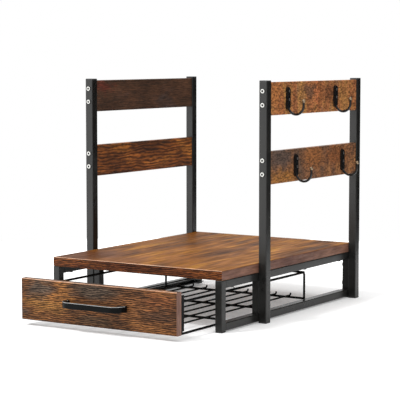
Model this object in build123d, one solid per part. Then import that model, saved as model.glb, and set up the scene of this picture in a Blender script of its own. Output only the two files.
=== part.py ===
from build123d import *
from math import cos, pi, sin, sqrt
import os

# Tabletop organizer: a board on two welded side frames, four tall posts with wooden slats and
# hooks outside them, and a wire basket drawer with a wooden front under the board.
# X runs across the width, Y from front to back, Z up. Every length is in millimetres.
# While a piece is drawn, the board's front edge is at Y zero and the floor at Z zero.
# Round bars, holes and screw heads are drawn with flats, to keep the many small pieces light.

# Flats around a round bar, and the share of its width that a flat takes at a square's corner
round_sides = 8
corner_share = 1 / (2 + sqrt(2))

# Board
board_width = 340.0
board_depth = 458.0
board_thickness = 16.0
board_edge = 1.0
board_screw_bite = 11.0
board_screw_end_share = 0.09

# Square tube of the frames, and the larger one of the posts
tube = 13.0
post_side = 15.0
tube_wall = 1.2
tube_corner = 1.2

# Side frames and posts
frame_height = 82.5
post_top = 404.0
post_setback = 117.0

# Plastic plugs that close the tube ends
plug_flange = 2.5
plug_stem = 9.0
plug_play = 0.1
plug_chamfer = 0.8

# Slats between the posts
slat_height = 55.0
slat_thickness = 12.0
slat_gap = 59.5
slat_drop = 3.0
slat_edge = 0.8

# Hooks on the slats
hook_near_end = 56.0
hook_far_end = 84.5
hook_drop = 8.7
hook_plate_height = 38.0
hook_plate_width = 11.0
hook_plate_edge = 2.6
hook_plate_crown = 1.8
hook_wire = 4.0
hook_bend = 14.5
hook_low = 46.0
hook_tip_rise = 8.0
hook_ball = 6.4
hook_bend_steps = 6
hook_screw_high = 7.0
hook_screw_low = 21.0

# Runners of the drawer
runner_sheet = 1.5
runner_shelf = 14.0
runner_end_play = 3.0
slide_play = 0.3

# Drawer
drawer_open = 107.5
drawer_more = 160.0
front_side_play = 3.0
front_low = 9.5
front_height = 69.0
front_thickness = 14.0
front_round = 2.5
front_back_edge = 0.8

# Wire basket
rim_wire = 4.0
floor_wire = 3.0
weld_bite = 0.25
basket_side_room = 9.2
basket_low = 10.0
basket_rise = 50.7
basket_rear_room = 35.0
basket_bend = 5.0
basket_cross_wires = 4
basket_floor_wires = 11
floor_tip_rise = 4.0
floor_tip_bend = 3.0
ear_wire = 3.4
ear_reach = 5.2

# Straps that carry the drawer front
strap_thickness = 3.0
strap_width = 22.0
strap_foot = 0.5
strap_height = 62.5
strap_corner = 2.0
strap_screw_edge = 5.5
strap_screw_low = 14.0
strap_screw_pitch = 24.0

# Bar handle
handle_length = 120.0
handle_reach = 25.0
handle_height = 10.0
handle_rise = 1.0
handle_bar = 4.0
handle_leg = 6.5
handle_bend = 20.0
handle_inner_bend = 16.0
handle_edge = 0.7
handle_screw_bite = 8.0

# Fasteners: head radius, head height and shank radius of each kind
slat_screw_head = 4.2
slat_screw_crown = 2.2
slat_screw_shank = 1.9
slat_screw_bite = 18.0
slat_screw_pitch = 23.0
slat_screw_rise = 1.5
bolt_head = 4.6
bolt_crown = 2.8
bolt_shank = 2.5
bolt_nut = 4.2
bolt_nut_length = 4.0
bolt_low = 27.0
bolt_pitch = 34.0
wood_screw_head = 3.6
wood_screw_crown = 2.0
wood_screw_shank = 1.6
hook_screw_head = 2.3
hook_screw_crown = 1.0
hook_screw_shank = 1.2
hook_screw_bite = 8.0
hole_play = 0.15
pilot_depth_extra = 1.0
cut_over = 1.0

# Places worked out from the sizes above
half_board = board_width / 2
frame_low = plug_flange
frame_top = frame_low + frame_height
board_low = frame_top
board_top = board_low + board_thickness
inner_face = half_board - tube
frame_mid_x = half_board - tube / 2
post_mid_x = half_board + post_side / 2
front_post_y = post_setback + tube / 2
rear_post_y = board_depth - post_side / 2
front_leg_y = tube / 2
rear_leg_y = board_depth - tube / 2
slat_y0 = front_post_y + post_side / 2
slat_y1 = rear_post_y - post_side / 2
slat_length = slat_y1 - slat_y0
slat_face_x = post_mid_x + slat_thickness / 2
upper_slat_top = post_top - slat_drop
lower_slat_top = upper_slat_top - slat_height - slat_gap
bolt_heights = [bolt_low, bolt_low + bolt_pitch]
panel_y = -drawer_open
panel_back = panel_y + front_thickness
front_width = 2 * (inner_face - front_side_play)
strap_back = panel_back + strap_thickness
basket_half_width = inner_face - basket_side_room
basket_front = strap_back + rim_wire / 2
basket_length = board_depth - basket_rear_room - (front_thickness + strap_thickness + rim_wire / 2)
basket_back = basket_front + basket_length
basket_top = basket_low + basket_rise
cross_z = basket_low + rim_wire - weld_bite
floor_z = cross_z + rim_wire / 2 + floor_wire / 2 - weld_bite
front_reach = drawer_open + handle_reach
rear_reach = board_depth + slat_screw_crown
middle_y = (rear_reach - front_reach) / 2
shelf_top = basket_low - rim_wire / 2 - slide_play
lip_low = basket_low + rim_wire / 2 + slide_play
ear_y = basket_back - basket_bend - ear_wire / 2
handle_z = front_low + front_height / 2 + handle_rise

SIDES = {"left": -1, "right": 1}
ENDS = {"front": front_post_y, "rear": rear_post_y}
SLAT_TOPS = {"upper": upper_slat_top, "lower": lower_slat_top}


def bar_section(radius):
    """Section of a round bar, its flats square to the axes."""
    turn = 180 / round_sides
    return RegularPolygon(radius, round_sides, major_radius=False, rotation=turn)


def rod(start, end, radius):
    """Round bar from one point to another."""
    way = Vector(*end) - Vector(*start)
    plane = Plane(origin=start, z_dir=way)
    return extrude(plane * bar_section(radius), amount=way.length)


def bent_bar(points, radius):
    """Round bar along straight runs between points, mitred where they meet."""
    path = Polyline(*points)
    plane = Plane(origin=points[0], z_dir=Vector(*points[1]) - Vector(*points[0]))
    return sweep(plane * bar_section(radius), path=path, transition=Transition.RIGHT)


def ball(x, z, radius):
    """Ball in the plane of Y zero, with flats both ways round."""
    body = extrude(bar_section(radius), amount=radius, both=True)
    rims = body.faces().filter_by(Axis.Z).edges()
    return Pos(x, 0, z) * chamfer(rims, 2 * radius * corner_share)


def block(x0, x1, y0, y1, z0, z1):
    """Box between two corners."""
    size = Box(x1 - x0, y1 - y0, z1 - z0)
    return Pos((x0 + x1) / 2, (y0 + y1) / 2, (z0 + z1) / 2) * size


def tube_section(side):
    """Outline of a square tube with its corners taken off."""
    square = Rectangle(side, side)
    return chamfer(square.vertices(), tube_corner)


def bore(y0, y1, z0, z1):
    """Square hollow of a frame tube between two places in its own plane."""
    half = tube / 2 - tube_wall
    return block(frame_mid_x - half, frame_mid_x + half, y0, y1, z0, z1)


def mirrored(piece, side):
    """The piece as drawn for the right, or its mirror image for the left."""
    return piece if side > 0 else mirror(piece, about=Plane.YZ)


def both(pieces):
    """Pieces drawn for the right, with their mirror images."""
    return pieces + [mirror(piece, about=Plane.YZ) for piece in pieces]


def screw(head, way, head_radius, crown, shank, length):
    """Screw whose domed head rests on a point and whose shank runs along a direction."""
    rim = crown / 3
    body = extrude(bar_section(head_radius), amount=crown)
    body = chamfer(body.faces().sort_by(Axis.Z)[-1].edges(), crown - rim)
    body += extrude(bar_section(shank), amount=-length)
    return Plane(origin=head, z_dir=Vector(*way) * -1) * body


def make_board():
    board = block(-half_board, half_board, 0, board_depth, board_low, board_top)
    board = chamfer(board.edges(), board_edge)
    for x, y in board_screw_places():
        low = (x, y, board_low - cut_over)
        high = (x, y, board_low + board_screw_bite + pilot_depth_extra)
        board -= rod(low, high, wood_screw_shank + hole_play)
    return board


def board_screw_places():
    first = board_depth * board_screw_end_share
    middle = (post_setback + board_depth) / 2
    rows = [first, middle, board_depth - first]
    return [(side * frame_mid_x, y) for side in SIDES.values() for y in rows]


def make_frame():
    """Right side frame: a loop of square tube with an upright beside the front post."""
    body = block(inner_face, half_board, 0, board_depth, frame_low, frame_top)
    rail_top = frame_low + tube
    rail_low = frame_top - tube
    windows = [(tube, post_setback), (post_setback + tube, board_depth - tube)]
    for y0, y1 in windows:
        body -= block(
            inner_face - cut_over, half_board + cut_over, y0, y1, rail_top, rail_low
        )
    long_edges = body.faces().filter_by(Axis.X).edges()
    body = chamfer(long_edges, tube_corner)
    for y in (front_leg_y, rear_leg_y):
        half = tube / 2 - tube_wall
        body -= bore(y - half, y + half, frame_low - cut_over, frame_top + cut_over)
    half = tube / 2 - tube_wall
    body -= bore(front_post_y - half, front_post_y + half, rail_top, rail_low)
    for z in (frame_low + tube / 2, frame_top - tube / 2):
        body -= bore(tube, board_depth - tube, z - half, z + half)
    for y in ENDS.values():
        for z in bolt_heights:
            start = (inner_face - cut_over, y, z)
            end = (half_board + cut_over, y, z)
            body -= rod(start, end, bolt_shank + hole_play)
    for x, y in board_screw_places():
        if x > 0:
            start = (x, y, rail_low - cut_over)
            end = (x, y, frame_top + cut_over)
            body -= rod(start, end, wood_screw_shank + hole_play)
    return body


def slat_screw_heights(top):
    middle = top - slat_height / 2 + slat_screw_rise
    return [middle + slat_screw_pitch / 2, middle - slat_screw_pitch / 2]


def make_post(y):
    """Right post at a given depth, with a weld nut inside for each bolt."""
    low = plug_flange
    high = post_top - plug_flange
    body = Pos(post_mid_x, y, low) * extrude(tube_section(post_side), amount=high - low)
    half = post_side / 2 - tube_wall
    body -= block(post_mid_x - half, post_mid_x + half, y - half, y + half, low, high)
    for z in bolt_heights:
        seat = half_board + tube_wall / 2
        nut_end = half_board + tube_wall + bolt_nut_length
        body += rod((seat, y, z), (nut_end, y, z), bolt_nut)
        start = (half_board - cut_over, y, z)
        end = (nut_end + cut_over, y, z)
        body -= rod(start, end, bolt_shank + hole_play)
    for top in SLAT_TOPS.values():
        for z in slat_screw_heights(top):
            start = (post_mid_x, y - post_side / 2 - cut_over, z)
            end = (post_mid_x, y + post_side / 2 + cut_over, z)
            body -= rod(start, end, slat_screw_shank + hole_play)
    return body


def end_plug(side):
    """Plug for the end of a square tube: flange below Z zero, stem above it."""
    flange = extrude(tube_section(side), amount=-plug_flange)
    rim = flange.faces().sort_by(Axis.Z)[0].edges()
    flange = chamfer(rim, plug_chamfer)
    inside = side - 2 * tube_wall - 2 * plug_play
    stem = extrude(Rectangle(inside, inside), amount=plug_stem)
    return flange + stem


def frame_glides():
    plugs = [Pos(frame_mid_x, y, frame_low) * end_plug(tube) for y in (front_leg_y, rear_leg_y)]
    return both(plugs)


def post_glides():
    return both([Pos(post_mid_x, y, plug_flange) * end_plug(post_side) for y in ENDS.values()])


def post_caps():
    turned = Rot(180, 0, 0) * end_plug(post_side)
    return both([Pos(post_mid_x, y, post_top - plug_flange) * turned for y in ENDS.values()])


def hook_places(level):
    """Depths of the two hooks: the lower slat is the upper one turned end for end."""
    if level == "upper":
        return {"front": slat_y0 + hook_near_end, "rear": slat_y1 - hook_far_end}
    return {"front": slat_y0 + hook_far_end, "rear": slat_y1 - hook_near_end}


def make_slat(level):
    top = SLAT_TOPS[level]
    slat = block(
        post_mid_x - slat_thickness / 2, slat_face_x, slat_y0, slat_y1, top - slat_height, top
    )
    slat = chamfer(slat.edges().filter_by(Axis.Y), slat_edge)
    depth = slat_screw_bite + pilot_depth_extra
    for z in slat_screw_heights(top):
        for y, way in ((slat_y0, 1), (slat_y1, -1)):
            start = (post_mid_x, y - way * cut_over, z)
            slat -= rod(start, (post_mid_x, y + way * depth, z), slat_screw_shank + hole_play)
    for y in hook_places(level).values():
        for drop in (hook_screw_high, hook_screw_low):
            z = top - hook_drop - drop
            start = (slat_face_x + cut_over, y, z)
            end = (slat_face_x - hook_screw_bite - pilot_depth_extra, y, z)
            slat -= rod(start, end, hook_screw_shank + hole_play)
    return slat


def hook_shape():
    """Hook on a face at X zero, its plate's top at Z zero, its wire curling out along X."""
    outline = Rectangle(hook_plate_height, hook_plate_width)
    outline = chamfer(outline.vertices(), hook_plate_width * corner_share)
    wall = Plane(origin=(0, 0, -hook_plate_height / 2), x_dir=(0, 0, 1), z_dir=(1, 0, 0))
    plate = extrude(wall * outline, amount=hook_plate_edge + hook_plate_crown)
    rim = plate.faces().sort_by(Axis.X)[-1].edges()
    plate = chamfer(rim, hook_plate_crown, hook_plate_width / 4)
    stem_x = hook_wire / 2 + (hook_plate_edge - hook_wire / 2) / 2
    bend_z = hook_bend - hook_low
    tip_z = bend_z + hook_tip_rise
    points = [(stem_x, 0, -hook_screw_low - hook_plate_width / 2)]
    for index in range(hook_bend_steps + 1):
        angle = pi * index / hook_bend_steps
        x = stem_x + hook_bend * (1 - cos(angle))
        points.append((x, 0, bend_z - hook_bend * sin(angle)))
    points.append((points[-1][0], 0, tip_z))
    wire = bent_bar(points, hook_wire / 2)
    tip = ball(points[-1][0], tip_z, hook_ball / 2)
    hook = plate + wire + tip
    for drop in (hook_screw_high, hook_screw_low):
        start = (-cut_over, 0, -drop)
        end = (hook_plate_edge + hook_plate_crown + cut_over, 0, -drop)
        hook -= rod(start, end, hook_screw_shank + hole_play)
    return hook


def make_hook(level, y):
    return Pos(slat_face_x, y, SLAT_TOPS[level] - hook_drop) * hook_shape()


def make_runner():
    """Right runner: a channel whose lip holds the basket's ear down, with a stop at each end."""
    y0 = front_thickness + strap_thickness + runner_end_play
    y1 = board_depth - tube - runner_end_play
    shelf_low = shelf_top - runner_sheet
    lip_top = lip_low + runner_sheet
    web_x = inner_face - runner_sheet
    lip_x = basket_half_width + rim_wire / 2 + 2 * slide_play
    body = block(inner_face - runner_shelf, inner_face, y0, y1, shelf_low, shelf_top)
    body += block(web_x, inner_face, y0, y1, shelf_low, lip_top)
    body += block(lip_x, inner_face, y0, y1, lip_low, lip_top)
    open_stop = ear_y - ear_wire / 2 - slide_play - drawer_more
    closed_stop = ear_y + ear_wire / 2 + slide_play + drawer_open
    body += block(lip_x, web_x, open_stop - runner_sheet, open_stop, shelf_top, lip_low)
    body += block(lip_x, web_x, closed_stop, closed_stop + runner_sheet, shelf_top, lip_low)
    return body


def make_basket():
    """Welded wire basket: side loops with an ear each, cross wires, floor wires with tips."""
    wire = rim_wire / 2
    mid_y = (basket_front + basket_back) / 2
    mid_z = (basket_low + basket_top) / 2
    outer = Rectangle(basket_length + rim_wire, basket_rise + rim_wire)
    outer = chamfer(outer.vertices(), basket_bend)
    inner = Rectangle(basket_length - rim_wire, basket_rise - rim_wire)
    inner = chamfer(inner.vertices(), basket_bend - rim_wire * corner_share * 2)
    outline = Plane.YZ * Pos(mid_y, mid_z) * (outer - inner)
    loop = extrude(outline, amount=wire, both=True)
    loop = chamfer(loop.faces().filter_by(Axis.X).edges(), rim_wire * corner_share)
    body = Pos(basket_half_width, 0, 0) * loop + Pos(-basket_half_width, 0, 0) * loop
    for y in (basket_front, basket_back):
        body += rod((-basket_half_width, y, basket_top), (basket_half_width, y, basket_top), wire)
    step = basket_length / (basket_cross_wires - 1)
    for index in range(basket_cross_wires):
        y = basket_front + index * step
        body += rod((-basket_half_width, y, cross_z), (basket_half_width, y, cross_z), wire)
    ear_x = basket_half_width + ear_reach
    for side in SIDES.values():
        start = (side * basket_half_width, ear_y, basket_low)
        body += rod(start, (side * ear_x, ear_y, basket_low), ear_wire / 2)
    pitch = 2 * basket_half_width / (basket_floor_wires - 1)
    tip_y = basket_back + wire + floor_wire / 2
    for index in range(1, basket_floor_wires - 1):
        x = -basket_half_width + index * pitch
        body += floor_bar(x, tip_y)
    return body


def floor_bar(x, tip_y):
    """Floor wire that lies on the cross wires and turns up behind the last one."""
    turn = floor_tip_bend
    points = [
        (x, basket_front, floor_z),
        (x, tip_y - turn, floor_z),
        (x, tip_y, floor_z + turn),
        (x, tip_y, floor_z + floor_tip_rise),
    ]
    return bent_bar(points, floor_wire / 2)


def handle_screw_xs():
    reach = handle_length / 2 - handle_leg / 2
    return [-reach, reach]


def strap_screw_heights():
    low = front_low + strap_foot + strap_screw_low
    return [low, low + strap_screw_pitch]


def strap_screw_x():
    """The screws keep to the strap's inner edge, clear of the basket's wires."""
    return front_width / 2 - strap_width + strap_screw_edge


def make_front():
    """Wooden drawer front, its face edges rounded."""
    half = front_width / 2
    panel = block(-half, half, panel_y, panel_back, front_low, front_low + front_height)
    face_edges = panel.faces().sort_by(Axis.Y)[0].edges()
    panel = fillet(face_edges, front_round)
    back_edges = panel.faces().sort_by(Axis.Y)[-1].edges()
    panel = chamfer(back_edges, front_back_edge)
    for x in handle_screw_xs():
        start = (x, panel_y - cut_over, handle_z)
        end = (x, panel_back + cut_over, handle_z)
        panel -= rod(start, end, wood_screw_shank + hole_play)
    pilot = front_thickness / 2 + pilot_depth_extra
    for x in (-strap_screw_x(), strap_screw_x()):
        for z in strap_screw_heights():
            start = (x, panel_back + cut_over, z)
            panel -= rod(start, (x, panel_back - pilot, z), wood_screw_shank + hole_play)
    return panel


def make_strap():
    """Right strap: carries the front's edge and is welded to the basket's wires."""
    x1 = front_width / 2
    low = front_low + strap_foot
    strap = block(x1 - strap_width, x1, panel_back, strap_back, low, low + strap_height)
    strap = chamfer(strap.edges().filter_by(Axis.Y), strap_corner)
    for z in strap_screw_heights():
        start = (strap_screw_x(), panel_back - cut_over, z)
        end = (strap_screw_x(), strap_back + cut_over, z)
        strap -= rod(start, end, wood_screw_shank + hole_play)
    return strap


def make_handle():
    """Bar handle: one bow of flat section with thicker legs for the screws."""
    outer = Rectangle(handle_length, handle_reach)
    outer = fillet(outer.vertices().group_by(Axis.Y)[0], handle_bend)
    gap = Rectangle(handle_length - 2 * handle_leg, handle_reach - handle_bar)
    gap = fillet(gap.vertices().group_by(Axis.Y)[0], handle_inner_bend)
    bow = outer - Pos(0, handle_bar / 2) * gap
    low = handle_z - handle_height / 2
    plane = Plane(origin=(0, panel_y - handle_reach / 2, low), z_dir=(0, 0, 1))
    handle = extrude(plane * bow, amount=handle_height)
    rims = handle.faces().filter_by(Axis.Z).edges()
    free_rims = rims.filter_by(lambda edge: edge.center().Y < panel_y - handle_edge)
    handle = chamfer(free_rims, handle_edge)
    for x in handle_screw_xs():
        start = (x, panel_y + cut_over, handle_z)
        end = (x, panel_y - handle_screw_bite - pilot_depth_extra, handle_z)
        handle -= rod(start, end, wood_screw_shank + hole_play)
    return handle


def slat_screws():
    pieces = []
    length = post_side + slat_screw_bite
    for top in SLAT_TOPS.values():
        for z in slat_screw_heights(top):
            for y, way in ((slat_y0 - post_side, 1), (board_depth, -1)):
                pieces.append(
                    screw(
                        (post_mid_x, y, z), (0, way, 0),
                        slat_screw_head, slat_screw_crown, slat_screw_shank, length,
                    )
                )
    return both(pieces)


def post_bolts():
    length = tube + tube_wall + bolt_nut_length
    pieces = [
        screw((inner_face, y, z), (1, 0, 0), bolt_head, bolt_crown, bolt_shank, length)
        for y in ENDS.values()
        for z in bolt_heights
    ]
    return both(pieces)


def board_screws():
    length = tube + board_screw_bite
    low = frame_top - tube
    return [
        screw((x, y, low), (0, 0, 1), wood_screw_head, wood_screw_crown, wood_screw_shank, length)
        for x, y in board_screw_places()
    ]


def hook_screws():
    pieces = []
    face = slat_face_x + hook_plate_edge + hook_plate_crown
    length = hook_plate_edge + hook_plate_crown + hook_screw_bite
    for level, top in SLAT_TOPS.items():
        for y in hook_places(level).values():
            for drop in (hook_screw_high, hook_screw_low):
                pieces.append(
                    screw(
                        (face, y, top - hook_drop - drop), (-1, 0, 0),
                        hook_screw_head, hook_screw_crown, hook_screw_shank, length,
                    )
                )
    return both(pieces)


def strap_screws():
    length = strap_thickness + front_thickness / 2
    pieces = [
        screw(
            (strap_screw_x(), strap_back, z), (0, -1, 0),
            wood_screw_head, wood_screw_crown, wood_screw_shank, length,
        )
        for z in strap_screw_heights()
    ]
    return both(pieces)


def handle_screws():
    length = front_thickness + handle_screw_bite
    return [
        screw(
            (x, panel_back, handle_z), (0, -1, 0),
            wood_screw_head, wood_screw_crown, wood_screw_shank, length,
        )
        for x in handle_screw_xs()
    ]


def save(name, piece):
    """Write one piece, moved so that the origin is on the floor under the middle."""
    solids = piece if isinstance(piece, list) else [piece]
    moved = [Pos(0, -middle_y, 0) * solid for solid in solids]
    shape = moved[0] if len(moved) == 1 else Compound(children=moved)
    export_step(shape, f"parts/{name}.step")


def main():
    os.makedirs("parts", exist_ok=True)
    save("top_board", make_board())
    frame = make_frame()
    runner = make_runner()
    strap = make_strap()
    posts = {end: make_post(y) for end, y in ENDS.items()}
    slats = {level: make_slat(level) for level in SLAT_TOPS}
    for side_name, side in SIDES.items():
        save(f"side_frame_{side_name}", mirrored(frame, side))
        save(f"runner_{side_name}", mirrored(runner, side))
        save(f"drawer_strap_{side_name}", mirrored(strap, side))
        for end, post in posts.items():
            save(f"post_{end}_{side_name}", mirrored(post, side))
        for level, slat in slats.items():
            save(f"slat_{level}_{side_name}", mirrored(slat, side))
            for end, y in hook_places(level).items():
                hook = mirrored(make_hook(level, y), side)
                save(f"hook_{level}_{end}_{side_name}", hook)
    save("frame_glides", frame_glides())
    save("post_glides", post_glides())
    save("post_caps", post_caps())
    save("drawer_front", make_front())
    save("drawer_basket", make_basket())
    save("drawer_handle", make_handle())
    save("slat_screws", slat_screws())
    save("post_bolts", post_bolts())
    save("board_screws", board_screws())
    save("hook_screws", hook_screws())
    save("strap_screws", strap_screws())
    save("handle_screws", handle_screws())


main()
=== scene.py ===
from math import pi, radians, tan

import bmesh
import bpy
from mathutils import Matrix, Vector


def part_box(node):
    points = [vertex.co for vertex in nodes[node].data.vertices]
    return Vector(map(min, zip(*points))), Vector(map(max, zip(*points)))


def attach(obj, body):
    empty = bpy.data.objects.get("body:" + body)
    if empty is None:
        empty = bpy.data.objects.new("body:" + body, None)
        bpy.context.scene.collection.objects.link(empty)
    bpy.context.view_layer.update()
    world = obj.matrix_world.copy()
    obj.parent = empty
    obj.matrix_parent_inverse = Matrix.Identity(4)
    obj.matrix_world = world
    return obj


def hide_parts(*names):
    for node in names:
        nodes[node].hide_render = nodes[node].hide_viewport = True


# Coffee station organizer: a rustic board on black tube frames, posts with slats and hooks, and a
# wire basket drawer with a wooden front. X runs across, Y from front to back, Z up, in metres.

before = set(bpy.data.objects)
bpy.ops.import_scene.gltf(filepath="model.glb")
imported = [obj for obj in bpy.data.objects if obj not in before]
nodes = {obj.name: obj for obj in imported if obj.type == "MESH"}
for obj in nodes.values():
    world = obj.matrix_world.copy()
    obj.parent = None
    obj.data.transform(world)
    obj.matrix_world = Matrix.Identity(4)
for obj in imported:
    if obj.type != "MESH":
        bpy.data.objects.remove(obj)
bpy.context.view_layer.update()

MM = 0.001
SIDES = {"left": -1, "right": 1}
ENDS = ("front", "rear")
LEVELS = ("upper", "lower")

# Sizes that the CAD boxes don't give, in millimetres
TUBE_ROUND = 1.3
BOARD_ROUND = 1.3
SLAT_ROUND = 1.1
PANEL_ROUND = 2.4
PANEL_BACK_ROUND = 0.8
PLUG_FLANGE = 2.5
PLUG_RIM_ROUND = 0.9
WELD_SINK = 0.4
BEAD = 0.7
SLAT_SCREW_PITCH = 23.0
SLAT_SCREW_RISE = 1.5
SLAT_SCREW_HEAD = 3.7
SLAT_SCREW_CROWN = 2.2
SLAT_SOCKET = 2.1
BOLT_HEAD = 4.6
BOLT_CROWN = 1.3
BOLT_SOCKET = 2.4
BOLT_HEIGHTS = (27.0, 61.0)
WOOD_SCREW_HEAD = 3.6
WOOD_SCREW_CROWN = 2.0
HOOK_SCREW_HEAD = 2.3
HOOK_SCREW_CROWN = 1.0
HOOK_SCREW_DROPS = (7.0, 21.0)
HOOK_PLATE_HEIGHT = 38.0
HOOK_PLATE_WIDTH = 11.0
HOOK_PLATE_THICK = 4.4
HOOK_PLATE_DOME = 2.6
HOOK_WIRE = 4.0
HOOK_STEM = 2.3
HOOK_BEND = 14.5
HOOK_LOW = 46.0
HOOK_TIP_RISE = 8.0
HOOK_BALL = 6.4
RIM_WIRE = 4.0
FLOOR_WIRE = 3.0
BASKET_HALF = 147.8
BASKET_LOW = 10.0
BASKET_RISE = 50.7
BASKET_BEND = 5.0
WELD_BITE = 0.25
TIP_BEND = 3.0
TIP_RISE = 4.0
EAR_WIRE = 3.4
HANDLE_BAR = 4.0
HANDLE_LEG = 6.5
HANDLE_BEND = 20.0
HANDLE_INNER_BEND = 16.0
HANDLE_EDGE = 0.9
STRAP_FLANGE = 4.5
STRAP_FLANGE_THICK = 2.0
STRAP_FLANGE_START = 5.0
STRAP_EDGE = 0.5

# Counts of wires, sides and steps
BASKET_CROSS = 4
BASKET_FLOOR = 11
ROUND_STEPS = 4
FRAME_STEPS = 3
WIRE_SIDES = 16
FLOOR_WIRE_SIDES = 12
HOOK_WIRE_SIDES = 20
HOOK_PLATE_SIDES = 40
HEAD_SIDES = 36
BEAD_SIDES = 12
BEAD_CUTS = 9

# Shares of a bead's, head's or plate's own size
BEAD_SWELL = 1.22
FLAT_HEAD = 0.12
DOMED_HEAD = 0.55
SOCKET_FLOOR = 0.2
SOCKET_TOP = 0.9
CROSS_FLOOR = 0.45
CROSS_SLOT = 0.17
CROSS_REACH = 0.62
CUTTER_HEIGHT = 1.5
HOOK_WIRE_START = 0.7
NEAR_TOP = 0.99

# Cosines that tell which way an edge or a face looks
ALONG = 0.9
SIDE_SLOPE = 0.7
# The next three pick the front-top roundings that get lighter edge wood: wear and a painted
# highlight
WEAR_AND_HIGHLIGHT_PANEL_SLOPE = 0.72
WEAR_AND_HIGHLIGHT_PANEL_FRONT = 0.1
WEAR_AND_HIGHLIGHT_BOARD_SLOPE = 0.25
# The next three pick the handle's top outer bevel that gets the painted highlight
HANDLE_RIM_UP = 0.2
HANDLE_RIM_FRONT = 0.1
HANDLE_RIM_TURN = (0.35, 0.98)

# Angles, in degrees
BEND_STEP = 12
SOFT_FROM = 50
SMOOTH_BELOW = 40
SMOOTH_FINE = 35
SMOOTH_WIRES = 50


def paint(code):
    """Linear colour of a written sRGB colour such as #A06A3E."""
    values = [int(code[i:i + 2], 16) / 255 for i in (1, 3, 5)]
    linear = [v / 12.92 if v <= 0.04045 else ((v + 0.055) / 1.055) ** 2.4 for v in values]
    return (*linear, 1.0)


# Modelling helpers


def fresh():
    """Leaves edit mode and deselects everything, the CAD nodes too."""
    if bpy.context.object and bpy.context.object.mode == "EDIT":
        bpy.ops.object.mode_set(mode="OBJECT")
    bpy.ops.object.select_all(action="DESELECT")


def started(name):
    """Names the primitive that was just added, and moves its place into its mesh."""
    piece = bpy.context.object
    piece.name = name
    piece.data.name = name
    bpy.ops.object.transform_apply(location=True, rotation=True, scale=True)
    return piece


def editing(kind="EDGE"):
    """Enters edit mode with everything selected."""
    bpy.ops.object.mode_set(mode="EDIT")
    bpy.ops.mesh.select_mode(type=kind)
    bpy.ops.mesh.select_all(action="SELECT")


def pick(kind, test):
    """Selects the vertices, edges or faces whose middle and direction pass a test."""
    bpy.ops.mesh.select_mode(type=kind)
    bpy.ops.mesh.select_all(action="DESELECT")
    mesh = bmesh.from_edit_mesh(bpy.context.object.data)
    if kind == "FACE":
        for face in mesh.faces:
            face.select_set(test(face.calc_center_median(), face.normal))
    elif kind == "EDGE":
        for edge in mesh.edges:
            ends = [vertex.co for vertex in edge.verts]
            edge.select_set(test((ends[0] + ends[1]) / 2, (ends[1] - ends[0]).normalized()))
    else:
        for vertex in mesh.verts:
            vertex.select_set(test(vertex.co, vertex.normal))
    bmesh.update_edit_mesh(bpy.context.object.data)


def upward(middle, way):
    """True for an edge that runs along Z."""
    return abs(way.z) > ALONG


def modified(piece, kind, **settings):
    """Adds a modifier to a piece and applies it."""
    fresh()
    piece.select_set(True)
    bpy.context.view_layer.objects.active = piece
    bpy.ops.object.modifier_add(type=kind)
    modifier = piece.modifiers[-1]
    for key, value in settings.items():
        setattr(modifier, key, value)
    bpy.ops.object.modifier_apply(modifier=modifier.name)
    return piece


def softened(piece, width, steps):
    """Rounds every sharp edge."""
    return modified(
        piece, "BEVEL", width=width, segments=steps, limit_method="ANGLE",
        angle_limit=radians(SOFT_FROM),
    )


def shaded(piece, angle=SMOOTH_BELOW):
    """Smooth shading inside the given angle, with flat faces kept flat beside their round edges."""
    fresh()
    piece.select_set(True)
    bpy.context.view_layer.objects.active = piece
    bpy.ops.object.shade_smooth_by_angle(angle=radians(angle))
    modified(piece, "WEIGHTED_NORMAL", keep_sharp=True, weight=50)
    return piece


def outward(piece):
    """Merges doubles and turns all faces outwards."""
    fresh()
    piece.select_set(True)
    bpy.context.view_layer.objects.active = piece
    editing("FACE")
    bpy.ops.mesh.remove_doubles(threshold=0.001 * MM)
    bpy.ops.mesh.normals_make_consistent(inside=False)
    bpy.ops.object.mode_set(mode="OBJECT")
    return piece


def joined(name, pieces):
    """Makes one piece of several."""
    fresh()
    for piece in pieces:
        piece.select_set(True)
    bpy.context.view_layer.objects.active = pieces[0]
    if len(pieces) > 1:
        bpy.ops.object.join()
    piece = bpy.context.object
    piece.name = name
    piece.data.name = name
    return piece


def copied(source, name, matrix):
    """A copy of a piece with its own mesh, moved by a matrix."""
    mesh = source.data.copy()
    mesh.name = name
    mesh.transform(matrix)
    if matrix.determinant() < 0:
        mesh.flip_normals()
    piece = bpy.data.objects.new(name, mesh)
    bpy.context.scene.collection.objects.link(piece)
    return piece


def dropped(piece):
    """Deletes a piece that was only a pattern or a cutter."""
    fresh()
    piece.select_set(True)
    bpy.ops.object.delete()


def cut(piece, cutter):
    """Cuts one piece out of another."""
    modified(piece, "BOOLEAN", operation="DIFFERENCE", object=cutter, solver="EXACT")
    dropped(cutter)
    return piece


def block(name, low, high, edge=0.0, steps=ROUND_STEPS):
    """Block between two corners with its edges rounded."""
    fresh()
    low, high = Vector(low), Vector(high)
    bpy.ops.mesh.primitive_cube_add(size=1, location=(low + high) / 2, scale=high - low)
    piece = started(name)
    if edge:
        editing()
        bpy.ops.mesh.bevel(offset=edge, segments=steps, affect="EDGES")
        bpy.ops.object.mode_set(mode="OBJECT")
    return piece


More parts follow.
